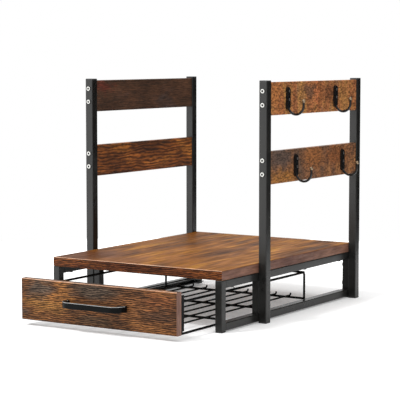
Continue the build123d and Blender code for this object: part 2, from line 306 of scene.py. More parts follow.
def bent_wire(name, points, radius, bend=0.0, sides=WIRE_SIDES, closed=False):
    """Round wire: a ring that is extruded along the runs and spun round each bend."""
    points = [Vector(point) for point in points]
    way = (points[1] - points[0]).normalized()
    fresh()
    turn = way.to_track_quat("Z", "Y").to_euler()
    bpy.ops.mesh.primitive_circle_add(
        vertices=sides, radius=radius, location=points[0], rotation=turn
    )
    piece = started(name)
    editing("EDGE")
    here = points[0]
    for index in range(1, len(points) - 1):
        corner = points[index]
        after = (points[index + 1] - corner).normalized()
        angle = way.angle(after)
        reach = bend * tan(angle / 2)
        stop = corner - way * reach
        bpy.ops.mesh.extrude_region_move(TRANSFORM_OT_translate={"value": stop - here})
        axis = way.cross(after).normalized()
        centre = stop + axis.cross(way) * bend
        steps = max(3, round(angle / radians(BEND_STEP)))
        bpy.ops.mesh.spin(steps=steps, angle=-angle, center=centre, axis=axis)
        here = corner + after * reach
        way = after
    bpy.ops.mesh.extrude_region_move(TRANSFORM_OT_translate={"value": points[-1] - here})
    if not closed:
        bpy.ops.mesh.select_all(action="SELECT")
        bpy.ops.mesh.fill_holes(sides=sides)
    bpy.ops.object.mode_set(mode="OBJECT")
    return outward(piece)


def mirrored(matrix, side):
    """The matrix as it is on the right side, with sign 1, or mirrored to the left, with -1."""
    return Matrix.Scale(side, 4, (1, 0, 0)) @ matrix


def facing(place, direction):
    """Matrix that stands a screw, modelled along Z, on a place with its head along a direction."""
    turn = Vector(direction).to_track_quat("Z", "Y").to_matrix().to_4x4()
    return Matrix.Translation(Vector(place)) @ turn


def finished(piece, body, material=None, replaces=()):
    """Gives a piece its body and material, and hides the CAD nodes that it stands for."""
    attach(piece, body)
    if replaces:
        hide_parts(*replaces)
    if material:
        piece.data.materials.clear()
        piece.data.materials.append(material)
    return piece


# Material helpers


def added(tree, kind, **settings):
    """A new node in a tree."""
    made = tree.nodes.new("ShaderNode" + kind)
    for key, value in settings.items():
        setattr(made, key, value)
    return made


def ranged(tree, value, low, high, to_low, to_high):
    """Maps one range of a value to another, clamped at both ends."""
    made = added(tree, "MapRange")
    made.inputs["From Min"].default_value = low
    made.inputs["From Max"].default_value = high
    made.inputs["To Min"].default_value = to_low
    made.inputs["To Max"].default_value = to_high
    tree.links.new(value, made.inputs["Value"])
    return made.outputs["Result"]


class Shader:
    """A material's node tree, built one node at a time."""

    def __init__(self, name):
        self.material = bpy.data.materials.new(name)
        self.material.use_nodes = True
        self.tree = self.material.node_tree
        self.surface = self.tree.nodes["Principled BSDF"]

    def node(self, kind, **settings):
        return added(self.tree, kind, **settings)

    def link(self, source, target):
        self.tree.links.new(source, target)

    def feed(self, value, socket):
        """Links an output to a socket, or sets the socket to a fixed value."""
        if isinstance(value, bpy.types.NodeSocket):
            self.link(value, socket)
        else:
            socket.default_value = value

    def surfaced(self, values):
        """Feeds the surface's sockets, and returns the material."""
        for name, value in values.items():
            self.feed(value, self.surface.inputs[name])
        return self.material

    def object_space(self, scale, place=(0, 0, 0)):
        """Object coordinates, scaled and shifted."""
        mapping = self.node("Mapping")
        mapping.inputs["Scale"].default_value = scale
        mapping.inputs["Location"].default_value = place
        self.link(self.node("TexCoord").outputs["Object"], mapping.inputs["Vector"])
        return mapping.outputs["Vector"]

    def noise(self, vector, scale=1.0, detail=3.0, roughness=0.5, distortion=0.0, output="Fac"):
        made = self.node("TexNoise")
        made.inputs["Scale"].default_value = scale
        made.inputs["Detail"].default_value = detail
        made.inputs["Roughness"].default_value = roughness
        made.inputs["Distortion"].default_value = distortion
        self.link(vector, made.inputs["Vector"])
        return made.outputs[output]

    def ramp(self, value, places, colours):
        """Colour ramp with a colour at each place."""
        made = self.node("ValToRGB")
        elements = made.color_ramp.elements
        while len(elements) < len(places):
            elements.new(0.5)
        for element, place, colour in zip(elements, places, colours):
            element.position = place
            element.color = colour
        self.link(value, made.inputs["Fac"])
        return made.outputs["Color"]

    def mix(self, factor, first, second):
        """Mix of two colours."""
        made = self.node("Mix", data_type="RGBA")
        for index, value in ((0, factor), (6, first), (7, second)):
            self.feed(value, made.inputs[index])
        return made.outputs[2]

    def spread(self, value, low, high, to_low=0.0, to_high=1.0):
        return ranged(self.tree, value, low, high, to_low, to_high)

    def vector_math(self, operation, *values):
        """Vector maths on outputs and fixed vectors."""
        made = self.node("VectorMath", operation=operation)
        for value, socket in zip(values, made.inputs):
            self.feed(value, socket)
        return made.outputs["Value" if operation == "LENGTH" else "Vector"]

    def spot(self, vector, centre, reach):
        """One at a place, in millimetres, fading to zero at the given reach along each axis."""
        offset = self.vector_math("SUBTRACT", vector, [value * MM for value in centre])
        part = self.vector_math("DIVIDE", offset, [value * MM for value in reach])
        return self.spread(self.vector_math("LENGTH", part), SPOT_CORE, 1.0, 1.0, 0.0)

    def grain_lines(self, along, pitch, place):
        """Wavy grain lines a pitch apart, one above the other, that run along an axis."""
        made = self.node("TexWave", wave_type="BANDS", bands_direction="Z", wave_profile="SIN")
        made.inputs["Scale"].default_value = 2 * pi / (WAVE_RATE * pitch)
        for name, value in RING_WAVES.items():
            made.inputs[name].default_value = value
        scale = [1.0, 1.0, 1.0]
        scale[along] = RING_STRETCH
        self.link(self.object_space(scale, place), made.inputs["Vector"])
        return made.outputs["Fac"]

    def scaled(self, colour, factor):
        """Colour made lighter or darker by a factor."""
        made = self.node("VectorMath", operation="SCALE")
        self.link(colour, made.inputs[0])
        self.link(factor, made.inputs["Scale"])
        return made.outputs["Vector"]

    def bump(self, height, strength, distance, before=None):
        made = self.node("Bump")
        made.inputs["Strength"].default_value = strength
        made.inputs["Distance"].default_value = distance
        self.link(height, made.inputs["Height"])
        if before:
            self.link(before, made.inputs["Normal"])
        return made.outputs["Normal"]


def grey(level):
    return (level, level, level, 1.0)


# Wood: where its noises are read, how far they shade it, and its bumps as strength and depth
PATCH_STOPS = (0.36, 0.46, 0.55, 0.66)
WORN_PATCH = 1.3
WORN_FADE = 0.12
WORN_MOST = 0.85
SPOT_CORE = 0.45
SPOT_RAGGED = 60
SPOT_STRETCH = (0.5, 1, 1.4)
SPOT_SHIFT = (0.06, 0.06, 0.03)
STREAK_READ = (0.36, 0.64)
STREAK_BUMP = (0.35, 0.0004)
RING_READ = (0.1, 0.9)
RING_STRETCH = 0.3
RING_WAVES = {
    "Distortion": 9.0, "Detail": 3.0, "Detail Scale": 1.2, "Detail Roughness": 0.6,
}
WAVE_RATE = 20
PORE_FINENESS = 2.5
PORE_READ = (0.3, 0.45)
PORE_DARK = 0.55
PORE_BUMP = (0.25, 0.0002)
GLOSS_READ = (0.3, 0.7)
WOOD_ROUGHNESS = (0.58, 0.44)

# Metal and plastic: how fine their noises are, where these are read, gloss changes and bumps
CLOUD_SCALE = 30
CLOUD_READ = (0.35, 0.7)
PEEL_SCALE = 900
PEEL_DEPTH = 0.0004
COAT_GLOSS = (-0.04, 0.05)
TURNING_SCALE = 1800
TURNING_GLOSS = 0.12
TURNING_BUMP = (0.05, 0.0001)
MOULD_SCALE = 1400
MOULD_BUMP = (0.2, 0.0002)
MOULD_LIGHT = "#2A2A2A"
MOULD_ROUGHNESS = 0.55


def rustic_wood(
    name, grain, place, tones, worn, streak=(0.75, 1.3), run=40, width=340, patch=(10, 26),
    worn_from=0.6, spots=(), shine=0.3, rings=0.0, ring_share=(1.0, 1.0),
):
    """Rustic brown wood: patches of four tones, worn areas, streaks along the grain and pores.

    Streak and ring_share are the least and the most light of the streaks and of the grain lines,
    which lie rings millimetres apart. Run, width and patch say how fine streaks and patches are,
    along the grain and across it. Each spot is a given patch: its middle and reach in
    millimetres, and its tone.
    """
    shader = Shader(name)
    along = "xyz".index(grain)

    def stretched(lengthwise, across):
        scale = [across] * 3
        scale[along] = lengthwise
        return shader.object_space(scale, place)

    patches = shader.noise(stretched(*patch), detail=4, roughness=0.6, distortion=0.6)
    colour = shader.ramp(patches, PATCH_STOPS, [paint(tone) for tone in tones])
    areas = stretched(patch[0] * WORN_PATCH, patch[1] * WORN_PATCH)
    areas = shader.noise(areas, detail=3, roughness=0.55, distortion=0.3)
    worn_share = shader.spread(areas, worn_from, worn_from + WORN_FADE, 0.0, WORN_MOST)
    colour = shader.mix(worn_share, colour, paint(worn))
    if spots:
        ragged = shader.object_space(SPOT_STRETCH, place)
        ragged = shader.noise(ragged, SPOT_RAGGED, detail=4, output="Color")
        back = [-way / 2 for way in SPOT_SHIFT]
        shift = shader.vector_math("MULTIPLY_ADD", ragged, SPOT_SHIFT, back)
        moved = shader.vector_math("ADD", shader.node("TexCoord").outputs["Object"], shift)
        # A spot can be painted shade too, as the handle's shadow on the drawer front
        for centre, reach, tone in spots:
            colour = shader.mix(shader.spot(moved, centre, reach), colour, paint(tone))
    streaks = shader.noise(stretched(run, width), detail=2)
    colour = shader.scaled(colour, shader.spread(streaks, *STREAK_READ, *streak))
    if rings:
        lines = shader.grain_lines(along, rings * MM, place)
        colour = shader.scaled(colour, shader.spread(lines, *RING_READ, *ring_share))
    pores = shader.noise(stretched(run * PORE_FINENESS, width * PORE_FINENESS), detail=2)
    colour = shader.scaled(colour, shader.spread(pores, *PORE_READ, PORE_DARK, 1.0))
    return shader.surfaced({
        "Base Color": colour,
        "Roughness": shader.spread(streaks, *GLOSS_READ, *WOOD_ROUGHNESS),
        "Normal": shader.bump(pores, *PORE_BUMP, shader.bump(streaks, *STREAK_BUMP)),
        "Specular IOR Level": shine,
    })


def coated_metal(name, colour, light, roughness, peel=0.06, shine=0.3):
    """Powder coated steel: a near black coat with a fine orange peel and faint cloudy gloss."""
    shader = Shader(name)
    cloud = shader.noise(shader.object_space((CLOUD_SCALE,) * 3), detail=4, roughness=0.6)
    grain = shader.noise(shader.object_space((PEEL_SCALE,) * 3), detail=2)
    gloss = [grey(roughness + change) for change in COAT_GLOSS]
    return shader.surfaced({
        "Base Color": shader.ramp(cloud, CLOUD_READ, (paint(colour), paint(light))),
        "Roughness": shader.ramp(cloud, GLOSS_READ, gloss),
        "Normal": shader.bump(grain, peel, PEEL_DEPTH),
        "Specular IOR Level": shine,
    })


def bright_steel(name, colour, light, roughness):
    """Plated steel with faint turning marks."""
    shader = Shader(name)
    marks = shader.noise(shader.object_space((TURNING_SCALE,) * 3))
    gloss = (grey(roughness), grey(roughness + TURNING_GLOSS))
    return shader.surfaced({
        "Base Color": shader.ramp(marks, GLOSS_READ, (paint(colour), paint(light))),
        "Metallic": 1.0,
        "Roughness": shader.ramp(marks, GLOSS_READ, gloss),
        "Normal": shader.bump(marks, *TURNING_BUMP),
    })


def moulded_plastic(name, colour):
    """Matt black plastic with a fine moulded texture."""
    shader = Shader(name)
    grain = shader.noise(shader.object_space((MOULD_SCALE,) * 3), detail=2)
    return shader.surfaced({
        "Base Color": shader.ramp(grain, GLOSS_READ, (paint(colour), paint(MOULD_LIGHT))),
        "Roughness": MOULD_ROUGHNESS,
        "Normal": shader.bump(grain, *MOULD_BUMP),
    })


TOP_TONES = ("#4C2B0E", "#6E4114", "#87531A", "#A26C22")
EDGE_TONES = ("#351A0A", "#44220F", "#4F2912", "#5A3114")
SIDE_TONES = ("#5D3B30", "#6B483B", "#724F40", "#7F5A48")
PANEL_SIDE_TONES = ("#68483D", "#77564A", "#7F5E50", "#8D6B59")
PANEL_TONES = ("#402816", "#4C2F19", "#58371D", "#654121")
# Lighter edge wood for the front-top roundings: partly wear, partly a painted highlight where the
# key lamp glints
EDGE_WEAR_AND_HIGHLIGHT_TONES = ("#B08468", "#BE9274", "#CC9E80", "#DAAE90")
SLAT_WOODS_AND_SHADE = {
    "upper_right": {
        "tones": ("#8A5430", "#9F643D", "#9D6B3B", "#B17D47"), "worn": "#80604B",
        "streak": (0.42, 1.66), "run": 170, "width": 420, "patch": (30, 9),
    },
    "lower_right": {
        "tones": ("#5C4434", "#6E4A32", "#835737", "#966840"), "worn": "#665244",
        "streak": (0.42, 1.66), "run": 170, "width": 420, "patch": (30, 9),
    },
    # Left slats: darker tones that partly paint the shade on their inner faces
    "upper_left": {
        "tones": ("#3C281C", "#463022", "#503626", "#5E402E"), "worn": "#423530",
        "streak": (0.7, 1.35), "run": 60, "width": 400, "patch": (9, 22),
        "rings": 3.4, "ring_share": (0.7, 1.3),
    },
    "lower_left": {
        "tones": ("#4E2B12", "#643817", "#7A461D", "#925A26"), "worn": "#4A3624",
        "streak": (0.6, 1.5), "run": 40, "width": 300, "patch": (9, 22),
        "rings": 6.0, "ring_share": (0.45, 1.6),
    },
}
SLAT_PATTERN_START = 0.35
SLAT_PATTERN_STEP = (0.4, 0.9, 0.2)
SLAT_SPOTS = {
    "upper_right": (
        ((183, -15, 382), (30, 26, 40), "#A36739"),
        ((183, 100, 384), (30, 34, 16), "#734E37"),
        ((183, 128, 380), (30, 9, 40), "#A7643D"),
        ((183, 175, 380), (30, 34, 24), "#794B2E"),
    ),
    "lower_right": (
        ((183, 0, 276), (30, 62, 24), "#56443A"),
        ((183, 10, 238), (30, 70, 18), "#94622F"),
        ((183, 120, 268), (30, 50, 24), "#86542E"),
        ((183, 200, 268), (30, 50, 24), "#7C4C2C"),
    ),
    "upper_left": (
        ((-172, -10, 390), (30, 40, 14), "#5C2E22"),
    ),
    "lower_left": (
        ((-172, 40, 280), (30, 40, 14), "#84501F"),
    ),
}
PANEL_SPOTS_AND_SHADOW = (
    ((-100, -277, 38), (54, 60, 18), "#744F27"),
    ((-70, -277, 60), (30, 60, 28), "#724A25"),
    ((-118, -277, 64), (34, 60, 20), "#44372D"),
    ((-4, -277, 68), (60, 60, 20), "#3D3127"),
    ((60, -277, 50), (34, 60, 22), "#5D3B21"),
    ((122, -277, 60), (36, 60, 22), "#57331B"),
    ((120, -277, 40), (40, 60, 12), "#3E2819"),
    # Painted shadow of the handle, on the wood below it
    ((-5, -277, 20), (52, 60, 12), "#402D1D"),
)
# Darker patches on the board's top, towards its left
TOP_SPOTS = (
    ((-130, -120, 101), (90, 110, 60), "#583216"),
    ((-40, -140, 101), (70, 60, 60), "#74461C"),
)

board_face = rustic_wood(
    "board_face_wood", "y", (0.3, 0.1, 0.0), TOP_TONES, "#5E4228",
    streak=(0.75, 1.28), run=12, width=160, patch=(5, 34), spots=TOP_SPOTS, shine=0.05,
)
board_band = rustic_wood(
    "board_front_band", "x", (0.7, 0.2, 0.4), EDGE_TONES, "#30241A",
    streak=(0.5, 1.6), run=70, width=640, patch=(10, 40), worn_from=0.62,
    shine=0.12, rings=3.1, ring_share=(0.3, 1.9),
)
board_side = rustic_wood(
    "board_side_band", "y", (0.2, 0.5, 0.9), SIDE_TONES, "#7A6156",
    streak=(0.8, 1.2), run=30, width=330, patch=(8, 30),
)
panel_wood = rustic_wood(
    "drawer_front_wood", "x", (0.15, 0.0, 0.33), PANEL_TONES, "#40332A",
    streak=(0.5, 1.6), run=70, width=640, patch=(14, 30), worn_from=0.62,
    spots=PANEL_SPOTS_AND_SHADOW, shine=0.12, rings=3.1, ring_share=(0.25, 1.85),
)
panel_side = rustic_wood(
    "drawer_side_band", "z", (0.6, 0.3, 0.1), PANEL_SIDE_TONES, "#826B63",
    streak=(0.8, 1.2), run=30, width=330, patch=(8, 30),
)
# Edge wood: lighter worn wood with a painted highlight, put only on front-top roundings that face
# the key lamp
edge_wear_and_highlight = rustic_wood(
    "edge_wear_and_highlight_wood", "x", (0.0, 0.6, 0.2), EDGE_WEAR_AND_HIGHLIGHT_TONES, "#BCA088", streak=(0.8, 1.2)
)
frame_coat = coated_metal("frame_powder_coat", "#181817", "#20201E", 0.3)
wire_coat = coated_metal("wire_powder_coat", "#080808", "#0E0E0E", 0.42, shine=0.06)
hook_coat = coated_metal("hook_gloss_coat", "#121212", "#1A1A1A", 0.24, peel=0.02)
handle_coat = coated_metal("handle_coat", "#070808", "#0D0E0F", 0.3, peel=0.03, shine=0.06)
# Light grey paint on the handle's top outer bevel: a painted highlight where the key lamp glints
handle_highlight_rim = coated_metal("handle_painted_highlight_rim", "#8A8A88", "#A4A4A2", 0.22, peel=0.02, shine=0.5)
dark_fixing = coated_metal("black_fixing", "#1A1A1A", "#242424", 0.35, peel=0.02)
zinc = bright_steel("zinc_plated_steel", "#BEBEBA", "#B0B0AC", 0.3)
hook_screw_steel = bright_steel("hook_screw_steel", "#5A5654", "#6A6664", 0.35)
ball_metal = bright_steel("hook_ball_metal", "#7E6C56", "#8C7A64", 0.3)
socket_shade = moulded_plastic("socket_shade", "#0A0A0A")
plug_plastic = moulded_plastic("plug_plastic", "#171717")


# Board, slats and drawer front


def make_board():
    low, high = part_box("top_board")
    board = block("board", low, high, BOARD_ROUND * MM)
    for material in (board_face, board_band, board_side, edge_wear_and_highlight):
        board.data.materials.append(material)
    for face in board.data.polygons:
        normal = face.normal
        if abs(normal.z) < SIDE_SLOPE:
            face.material_index = 1 if abs(normal.y) > abs(normal.x) else 2
        # The front-top rounding gets the edge wood: wear and a painted highlight
        if normal.y < -WEAR_AND_HIGHLIGHT_BOARD_SLOPE and normal.z > WEAR_AND_HIGHLIGHT_BOARD_SLOPE:
            face.material_index = 3
    finished(shaded(board), "stand", None, ["top_board"])


def make_slats():
    """Slats, each from another place in the wood's pattern."""
    for number, side in enumerate(SIDES):
        for step, level in enumerate(LEVELS):
            node = f"slat_{level}_{side}"
            low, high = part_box(node)
            across, along, up = SLAT_PATTERN_STEP
            place = (across * number, SLAT_PATTERN_START + along * step, up * number)
            spots = SLAT_SPOTS[f"{level}_{side}"]
            look = SLAT_WOODS_AND_SHADE[f"{level}_{side}"]
            wood = rustic_wood(f"{node}_wood", "y", place, spots=spots, **look)
            slat = block(f"{node}_board", low, high, SLAT_ROUND * MM)
            finished(shaded(slat), "stand", wood, [node])


def make_panel():
    low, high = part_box("drawer_front")
    near = MM / 10
    panel = block("drawer_panel", low, high)
    editing()
    pick("EDGE", lambda middle, way: abs(middle.y - low.y) < near)
    bpy.ops.mesh.bevel(offset=PANEL_ROUND * MM, segments=6, affect="EDGES")
    pick("EDGE", lambda middle, way: abs(middle.y - high.y) < near)
    bpy.ops.mesh.bevel(offset=PANEL_BACK_ROUND * MM, segments=3, affect="EDGES")
    bpy.ops.object.mode_set(mode="OBJECT")
    for material in (panel_wood, panel_side, edge_wear_and_highlight):
        panel.data.materials.append(material)
    for face in panel.data.polygons:
        normal = face.normal
        if abs(normal.x) > SIDE_SLOPE:
            face.material_index = 1
        # The top front rounding gets the edge wood: wear and a painted highlight
        if normal.y < -WEAR_AND_HIGHLIGHT_PANEL_FRONT and normal.z > WEAR_AND_HIGHLIGHT_PANEL_SLOPE:
            face.material_index = 2
    finished(shaded(panel), "drawer", None, ["drawer_front"])


# Frames, posts and plugs


def weld_bead(length):
    """A short lumpy weld bead along X, ready to be copied into the corners of the frames."""
    fresh()
    bpy.ops.mesh.primitive_cylinder_add(
        vertices=BEAD_SIDES, radius=BEAD * MM, depth=length, rotation=(0, pi / 2, 0)
    )
    bead = started("weld_bead_pattern")
    editing()
    pick("EDGE", lambda middle, way: abs(way.x) > ALONG)
    bpy.ops.mesh.subdivide(number_cuts=BEAD_CUTS)
    step = length / (BEAD_CUTS + 1)
    for ring in (-3, -1, 1, 3):
        place = ring * step
        pick("VERT", lambda at, normal: abs(at.x - place) < step / 4)
        bpy.ops.transform.resize(value=(1, BEAD_SWELL, BEAD_SWELL))
    bpy.ops.object.mode_set(mode="OBJECT")
    return bead


def upright_sides(side):
    """Front and rear faces of the frame's upright, which stands at the middle of the front post."""
    frame_low, frame_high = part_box(f"side_frame_{side}")
    post_low, post_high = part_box(f"post_front_{side}")
    middle = (post_low.y + post_high.y) / 2
    half = (frame_high.x - frame_low.x) / 2
    return middle - half, middle + half


def make_frame(side):
    """Side frame of welded square tube: legs, rails and the upright beside the front post."""
    node = f"side_frame_{side}"
    low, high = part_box(node)
    tube = high.x - low.x
    upright_low, upright_high = upright_sides(side)
    round_edge = TUBE_ROUND * MM
    sink = WELD_SINK * MM
    y_low, y_high = low.y + tube - sink, high.y - tube + sink
    spans = {
        "leg_front": (low, (high.x, low.y + tube, high.z)),
        "leg_rear": ((low.x, high.y - tube, low.z), high),
        "rail_low": ((low.x, y_low, low.z), (high.x, y_high, low.z + tube)),
        "rail_top": ((low.x, y_low, high.z - tube), (high.x, y_high, high.z)),
        "upright": (
            (low.x, upright_low, low.z + tube - sink),
            (high.x, upright_high, high.z - tube + sink),
        ),
    }
    bars = [block(name, *span, round_edge, FRAME_STEPS) for name, span in spans.items()]
    bead = weld_bead(tube - 2 * round_edge)
    for y in (low.y + tube, upright_low, upright_high, high.y - tube):
        for z in (low.z + tube, high.z - tube):
            place = Matrix.Translation(((low.x + high.x) / 2, y, z))
            bars.append(copied(bead, "bead", place))
    dropped(bead)
    piece = joined(f"{node}_tubes", bars)
    finished(shaded(piece), "stand", frame_coat, [node])


def make_posts():
    for side in SIDES:
        for end in ENDS:
            node = f"post_{end}_{side}"
            low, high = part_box(node)
            post = block(f"{node}_tube", low, high)
            editing()
            pick("EDGE", upward)
            bpy.ops.mesh.bevel(offset=TUBE_ROUND * MM, segments=ROUND_STEPS, affect="EDGES")
            bpy.ops.object.mode_set(mode="OBJECT")
            finished(shaded(post), "stand", frame_coat, [node])


def plug_pattern(tube):
    """Plug flange standing up from Z zero, its sides rounded as the tube and its rim softened."""
    half = tube / 2
    plug = block("plug_pattern", (-half, -half, 0), (half, half, PLUG_FLANGE * MM))
    editing()
    pick("EDGE", upward)
    bpy.ops.mesh.bevel(offset=TUBE_ROUND * MM, segments=ROUND_STEPS, affect="EDGES")
    pick("EDGE", lambda middle, way: middle.z > PLUG_FLANGE * MM * NEAR_TOP)
    bpy.ops.mesh.bevel(offset=PLUG_RIM_ROUND * MM, segments=ROUND_STEPS, affect="EDGES")
    bpy.ops.object.mode_set(mode="OBJECT")
    return plug


def make_plugs():
    """Glides under the frames and posts, and caps on the posts."""
    frame_low, frame_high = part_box("side_frame_right")
    tube = frame_high.x - frame_low.x
    pattern = plug_pattern(tube)
    down = Matrix.Rotation(pi, 4, "X")
    glides = []
    frame_x = (frame_low.x + frame_high.x) / 2
    for sign in SIDES.values():
        for y in (frame_low.y + tube / 2, frame_high.y - tube / 2):
            place = Matrix.Translation((sign * frame_x, y, frame_low.z))
            glides.append(copied(pattern, "glide", place @ down))
    piece = joined("frame_glide_plugs", glides)
    finished(shaded(piece), "stand", plug_plastic, ["frame_glides"])
    dropped(pattern)
    post_low, post_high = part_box("post_front_right")
    pattern = plug_pattern(post_high.x - post_low.x)
    caps = []
    feet = []
    for side in SIDES:
        for end in ENDS:
            low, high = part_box(f"post_{end}_{side}")
            x, y = (low.x + high.x) / 2, (low.y + high.y) / 2
            feet.append(copied(pattern, "foot", Matrix.Translation((x, y, low.z)) @ down))
            caps.append(copied(pattern, "cap", Matrix.Translation((x, y, high.z))))
    piece = joined("post_glide_plugs", feet)
    finished(shaded(piece), "stand", plug_plastic, ["post_glides"])
    piece = joined("post_cap_plugs", caps)
    finished(shaded(piece), "stand", plug_plastic, ["post_caps"])
    dropped(pattern)


# Fixings


def domed_head(name, radius, crown, dome):
    """Round screw head on Z zero, its top rounded over a share of its height."""
    fresh()
    bpy.ops.mesh.primitive_cylinder_add(
        vertices=HEAD_SIDES, radius=radius, depth=crown, location=(0, 0, crown / 2)
    )
    head = started(name)
    editing()
    pick("EDGE", lambda middle, way: middle.z > crown * NEAR_TOP)
    bpy.ops.mesh.bevel(offset=crown * dome, segments=5, affect="EDGES")
    bpy.ops.object.mode_set(mode="OBJECT")
    return head


def socket_screw(radius, crown, dome, socket, metal):
    """Button head with a hexagon socket."""
    head = domed_head("socket_screw_pattern", radius * MM, crown * MM, dome)
    fresh()
    depth = crown * CUTTER_HEIGHT * MM
    middle_z = crown * SOCKET_FLOOR * MM + depth / 2
    bpy.ops.mesh.primitive_cylinder_add(
        vertices=6, radius=socket * MM, depth=depth, location=(0, 0, middle_z)
    )
    cut(head, started("socket"))
    head.data.materials.append(metal)
    head.data.materials.append(socket_shade)
    for face in head.data.polygons:
        middle = face.center
        below_top = middle.z < crown * MM * SOCKET_TOP
        if below_top and middle.xy.length < socket * MM and face.normal.xy.dot(middle.xy) <= 0:
            face.material_index = 1
    return shaded(head, SMOOTH_FINE)


def cross_screw(radius, crown):
    """Pan head with a cross recess."""
    head = domed_head("cross_screw_pattern", radius * MM, crown * MM, DOMED_HEAD)
    slot = radius * CROSS_SLOT * MM
    reach = radius * CROSS_REACH * MM
    low = crown * CROSS_FLOOR * MM
    high = crown * CUTTER_HEIGHT * MM
    first = block("slot_one", (-reach, -slot, low), (reach, slot, high))
    head = cut(head, first)
    second = block("slot_two", (-slot, -reach, low), (slot, reach, high))
    return shaded(cut(head, second), SMOOTH_FINE)


def placed(pattern, name, places, body, material, node):
    """Copies a screw to every place and direction as one piece."""
    copies = [copied(pattern, name, facing(place, way)) for place, way in places]
    piece = joined(name, copies)
    finished(piece, body, material, [node])


def make_slat_screws():
    pattern = socket_screw(SLAT_SCREW_HEAD, SLAT_SCREW_CROWN, FLAT_HEAD, SLAT_SOCKET, zinc)
    places = []
    for side in SIDES:
        front_low, front_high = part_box(f"post_front_{side}")
        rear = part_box(f"post_rear_{side}")[1].y
        x = (front_low.x + front_high.x) / 2
        for level in LEVELS:
            low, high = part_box(f"slat_{level}_{side}")
            middle = (low.z + high.z) / 2 + SLAT_SCREW_RISE * MM
            for z in (middle - SLAT_SCREW_PITCH * MM / 2, middle + SLAT_SCREW_PITCH * MM / 2):
                places.append(((x, front_low.y, z), (0, -1, 0)))
                places.append(((x, rear, z), (0, 1, 0)))
    placed(pattern, "slat_screw_heads", places, "stand", None, "slat_screws")
    dropped(pattern)


def make_bolts():
    pattern = socket_screw(BOLT_HEAD, BOLT_CROWN, DOMED_HEAD, BOLT_SOCKET, dark_fixing)
    places = []
    for side, sign in SIDES.items():
        low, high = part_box(f"side_frame_{side}")
        x = low.x if sign > 0 else high.x
        for end in ENDS:
            post_low, post_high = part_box(f"post_{end}_{side}")
            for z in BOLT_HEIGHTS:
                places.append(((x, (post_low.y + post_high.y) / 2, z * MM), (-sign, 0, 0)))
    placed(pattern, "post_bolt_heads", places, "stand", None, "post_bolts")
    dropped(pattern)


def make_wood_screws():
    """Screws under the top rails, behind the straps and behind the handle's feet."""
    pattern = cross_screw(WOOD_SCREW_HEAD, WOOD_SCREW_CROWN)
    low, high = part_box("board_screws")
    frame_low, frame_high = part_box("side_frame_right")
    tube = frame_high.x - frame_low.x
    x = (frame_low.x + frame_high.x) / 2
    head = WOOD_SCREW_HEAD * MM
    middle = (upright_sides("right")[0] + frame_high.y) / 2
    places = [
        ((sign * x, y, frame_high.z - tube), (0, 0, -1))
        for sign in SIDES.values()
        for y in (low.y + head, middle, high.y - head)
    ]
    placed(
        pattern, "board_screw_heads", places, "stand", dark_fixing, "board_screws"
    )
    low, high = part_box("strap_screws")
    back = high.y - WOOD_SCREW_CROWN * MM
    places = [
        ((x, back, z), (0, 1, 0))
        for x in (low.x + head, high.x - head)
        for z in (low.z + head, high.z - head)
    ]
    placed(
        pattern, "strap_screw_heads", places, "drawer", dark_fixing, "strap_screws"
    )
    low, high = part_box("handle_screws")
    back = high.y - WOOD_SCREW_CROWN * MM
    places = [((x, back, (low.z + high.z) / 2), (0, 1, 0)) for x in (low.x + head, high.x - head)]
    placed(
        pattern, "handle_screw_heads", places, "drawer", dark_fixing, "handle_screws"
    )
    dropped(pattern)


# Hooks


def hook_pattern():
    """Hook on a face at X zero with its plate's top at Z zero."""
    width = HOOK_PLATE_WIDTH * MM
    height = HOOK_PLATE_HEIGHT * MM
    thick = HOOK_PLATE_THICK * MM
    fresh()
    bpy.ops.mesh.primitive_circle_add(
        vertices=HOOK_PLATE_SIDES, radius=width / 2, fill_type="NGON",
        location=(0, 0, -width / 2), rotation=(pi / HOOK_PLATE_SIDES, pi / 2, 0),
    )
    plate = started("hook_plate")
    editing("VERT")
    pick("VERT", lambda at, normal: at.z < -width / 2)
    bpy.ops.transform.translate(value=(0, 0, width - height))
    bpy.ops.mesh.select_mode(type="FACE")
    bpy.ops.mesh.select_all(action="SELECT")
    bpy.ops.mesh.extrude_region_move(TRANSFORM_OT_translate={"value": (thick, 0, 0)})
    pick("EDGE", lambda middle, way: middle.x > thick * NEAR_TOP)
    bpy.ops.mesh.bevel(offset=HOOK_PLATE_DOME * MM, segments=7, affect="EDGES")
    bpy.ops.object.mode_set(mode="OBJECT")
    outward(plate)
    stem_x = HOOK_STEM * MM
    bend = HOOK_BEND * MM
    out_x = stem_x + 2 * bend
    low_z = -HOOK_LOW * MM
    tip_z = low_z + bend + HOOK_TIP_RISE * MM
    start_z = -height * HOOK_WIRE_START
    least_straight = MM / 100
    route = [(stem_x, 0, start_z), (stem_x, 0, low_z), (out_x, 0, low_z), (out_x, 0, tip_z)]
    wire = bent_wire(
        "hook_wire", route, HOOK_WIRE * MM / 2, bend - least_straight, HOOK_WIRE_SIDES
    )
    fresh()
    bpy.ops.mesh.primitive_uv_sphere_add(
        segments=24, ring_count=14, radius=HOOK_BALL * MM / 2, location=(out_x, 0, tip_z)
    )
    ball = started("hook_ball")
    for piece in (plate, wire):
        piece.data.materials.append(hook_coat)
    ball.data.materials.append(ball_metal)
    return shaded(joined("hook_pattern", [plate, wire, ball]), SMOOTH_FINE)


